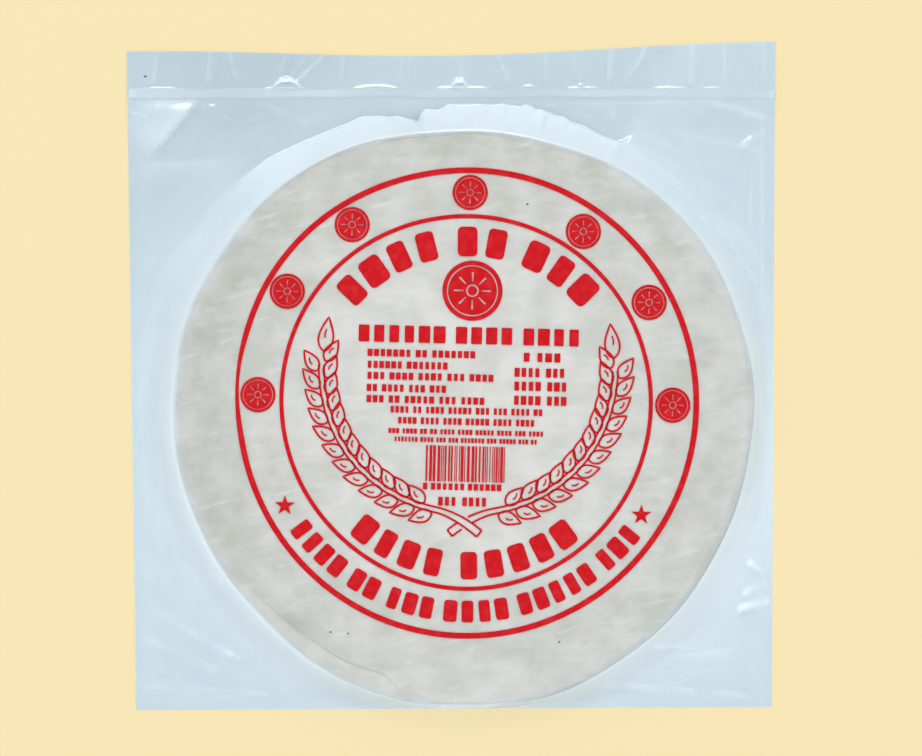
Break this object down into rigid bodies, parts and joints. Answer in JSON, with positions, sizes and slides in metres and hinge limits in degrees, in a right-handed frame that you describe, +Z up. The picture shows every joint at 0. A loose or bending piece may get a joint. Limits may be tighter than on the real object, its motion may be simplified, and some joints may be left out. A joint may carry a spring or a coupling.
{
  "type": "rice paper wrapper stack",
  "caption": "Round stack of dried rice paper wrappers lying in a sealed, nearly square clear film bag, with red printed rings on the film and a crimped flap above the heat seal.",
  "frame": {"origin": "middle of the bag's outline, on the flat back that it lies on", "axes": "+X to the right of the front, +Y towards the sealed mouth and its flap, +Z up out of the front"},
  "size_m": [0.247, 0.2546, 0.0095],
  "materials": {
    "film": "clear, thin and glossy, with a faint cold haze where two layers lie together",
    "rice_paper": "matt, dry, slightly translucent, with the shallow print of a woven drying mat",
    "print_ink": "flat red ink on the front film"
  },
  "bodies": {
    "root": {"sealed_bag": "film"}
  },
  "joints": []
}
